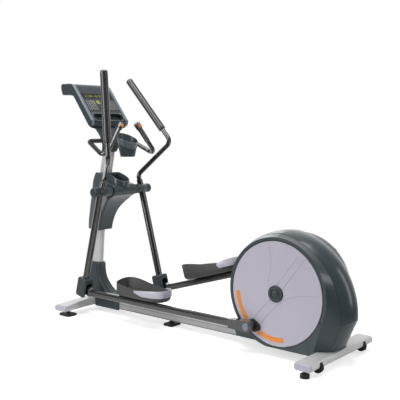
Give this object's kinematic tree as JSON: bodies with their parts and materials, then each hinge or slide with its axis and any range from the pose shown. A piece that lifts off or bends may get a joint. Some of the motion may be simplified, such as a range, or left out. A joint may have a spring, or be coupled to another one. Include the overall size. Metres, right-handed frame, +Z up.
{
  "type": "elliptical trainer",
  "caption": "Free-standing elliptical trainer: rear crank housing with side discs, rail, mast with console, swinging handlebars and suspended pedal arms.",
  "frame": {"origin": "on the floor, at the middle of the machine's length and width", "axes": "+X from the console to the drive housing, the user faces -X, +Y to the user's right, +Z up"},
  "size_m": [2.2484, 0.7902, 1.6891],
  "materials": {
    "silver_frame": "satin",
    "lavender_plastic": "satin",
    "slate_plastic": "satin",
    "black_plastic": "matte",
    "black_metal": "gloss",
    "grip_rubber": "satin",
    "black_rubber": "matte",
    "pedal_plastic": "matte",
    "silver_plastic": "satin",
    "orange_plastic": "satin",
    "steel": "machined",
    "bronze": "machined",
    "chrome": "polished",
    "display": "gloss",
    "pulley_metal": "machined",
    "flywheel_iron": "machined"
  },
  "bodies": {
    "frame": {"base_rail": "silver_frame", "console_face": "black_plastic", "console_neck": "slate_plastic", "console_shell": "slate_plastic", "crank_bearings": "steel", "cup_holder": "slate_plastic", "display_window": "display", "drive_belt": "black_rubber", "drive_frame": "black_metal", "fixed_handlebar": "black_metal", "front_end_caps": "lavender_plastic", "front_foot_pads": "black_rubber", "front_stabilizer": "silver_frame", "housing_band": "slate_plastic", "housing_left": "slate_plastic", "housing_right": "slate_plastic", "housing_screws": "black_plastic", "lower_mast_cover": "slate_plastic", "mast": "silver_frame", "middle_foot": "black_rubber", "pivot_bushes": "bronze", "pivot_caps": "slate_plastic", "pivot_shaft": "steel", "pulse_sensors": "chrome", "rear_end_caps": "lavender_plastic", "rear_levelling_feet": "black_rubber", "rear_stabilizer": "silver_frame", "shroud_left": "slate_plastic", "shroud_right": "slate_plastic", "storage_tray": "black_plastic"},
    "crank": {"crank_axle": "steel", "drive_pulley": "pulley_metal", "crank_arms": "black_metal", "left_disc": "lavender_plastic", "right_disc": "lavender_plastic", "disc_accents": "orange_plastic", "hub_caps": "slate_plastic"},
    "flywheel": {"flywheel": "flywheel_iron"},
    "left_wheel": {"left_transport_wheel": "black_rubber"},
    "right_wheel": {"right_transport_wheel": "black_rubber"},
    "left_swing": {"left_swing_arm": "black_metal", "left_handlebar": "black_metal", "left_grip": "grip_rubber", "left_boot": "slate_plastic", "left_boot_pin": "steel"},
    "left_pedal_link": {"left_pedal_arm": "black_metal", "left_crank_pin": "steel", "left_pedal": "pedal_plastic", "left_heel_guard": "silver_plastic"},
    "left_button": {"left_thumb_button": "orange_plastic"},
    "right_swing": {"right_swing_arm": "black_metal", "right_handlebar": "black_metal", "right_grip": "grip_rubber", "right_boot": "slate_plastic", "right_boot_pin": "steel"},
    "right_pedal_link": {"right_pedal_arm": "black_metal", "right_crank_pin": "steel", "right_pedal": "pedal_plastic", "right_heel_guard": "silver_plastic"},
    "right_button": {"right_thumb_button": "orange_plastic"}
  },
  "joints": [
    {"name": "crank_turn", "type": "hinge", "parent": "frame", "child": "crank", "pos_m": [0.69, 0, 0.376], "axis": [0, 1, 0], "continuous": true},
    {"name": "flywheel_spin", "type": "hinge", "parent": "frame", "child": "flywheel", "pos_m": [0.942, 0, 0.318], "axis": [0, 1, 0], "continuous": true},
    {"name": "left_swing_hinge", "type": "hinge", "parent": "frame", "child": "left_swing", "pos_m": [-0.704, -0.198, 0.884], "axis": [0, -1, 0], "range_deg": [-8, 35]},
    {"name": "right_swing_hinge", "type": "hinge", "parent": "frame", "child": "right_swing", "pos_m": [-0.704, 0.198, 0.884], "axis": [0, -1, 0], "range_deg": [-35, 8]},
    {"name": "left_pedal_hinge", "type": "hinge", "parent": "left_swing", "child": "left_pedal_link", "pos_m": [-0.88169, -0.198, 0.20693], "axis": [0, -1, 0], "range_deg": [-16, 4]},
    {"name": "right_pedal_hinge", "type": "hinge", "parent": "right_swing", "child": "right_pedal_link", "pos_m": [-0.51754, 0.198, 0.20929], "axis": [0, -1, 0], "range_deg": [-4, 16]},
    {"name": "left_wheel_roll", "type": "hinge", "parent": "frame", "child": "left_wheel", "pos_m": [1.032, -0.248, 0.046], "axis": [0, 1, 0], "continuous": true},
    {"name": "left_button_press", "type": "slide", "parent": "frame", "child": "left_button", "axis": [-0.9954, -0.0589, -0.0762], "range_m": [0, 0.002], "stiffness_N_per_m": 600},
    {"name": "right_wheel_roll", "type": "hinge", "parent": "frame", "child": "right_wheel", "pos_m": [1.032, 0.248, 0.046], "axis": [0, 1, 0], "continuous": true},
    {"name": "right_button_press", "type": "slide", "parent": "frame", "child": "right_button", "axis": [-0.9954, 0.0589, -0.0762], "range_m": [0, 0.002], "stiffness_N_per_m": 600}
  ],
  "couplings": [
    {"joint": "flywheel_spin", "follows": "crank_turn", "ratio": 5},
    {"joint": "right_swing_hinge", "follows": "left_swing_hinge", "ratio": -1},
    {"joint": "left_pedal_hinge", "follows": "left_swing_hinge", "ratio": -0.4409},
    {"joint": "right_pedal_hinge", "follows": "left_swing_hinge", "ratio": 0.4409}
  ]
}
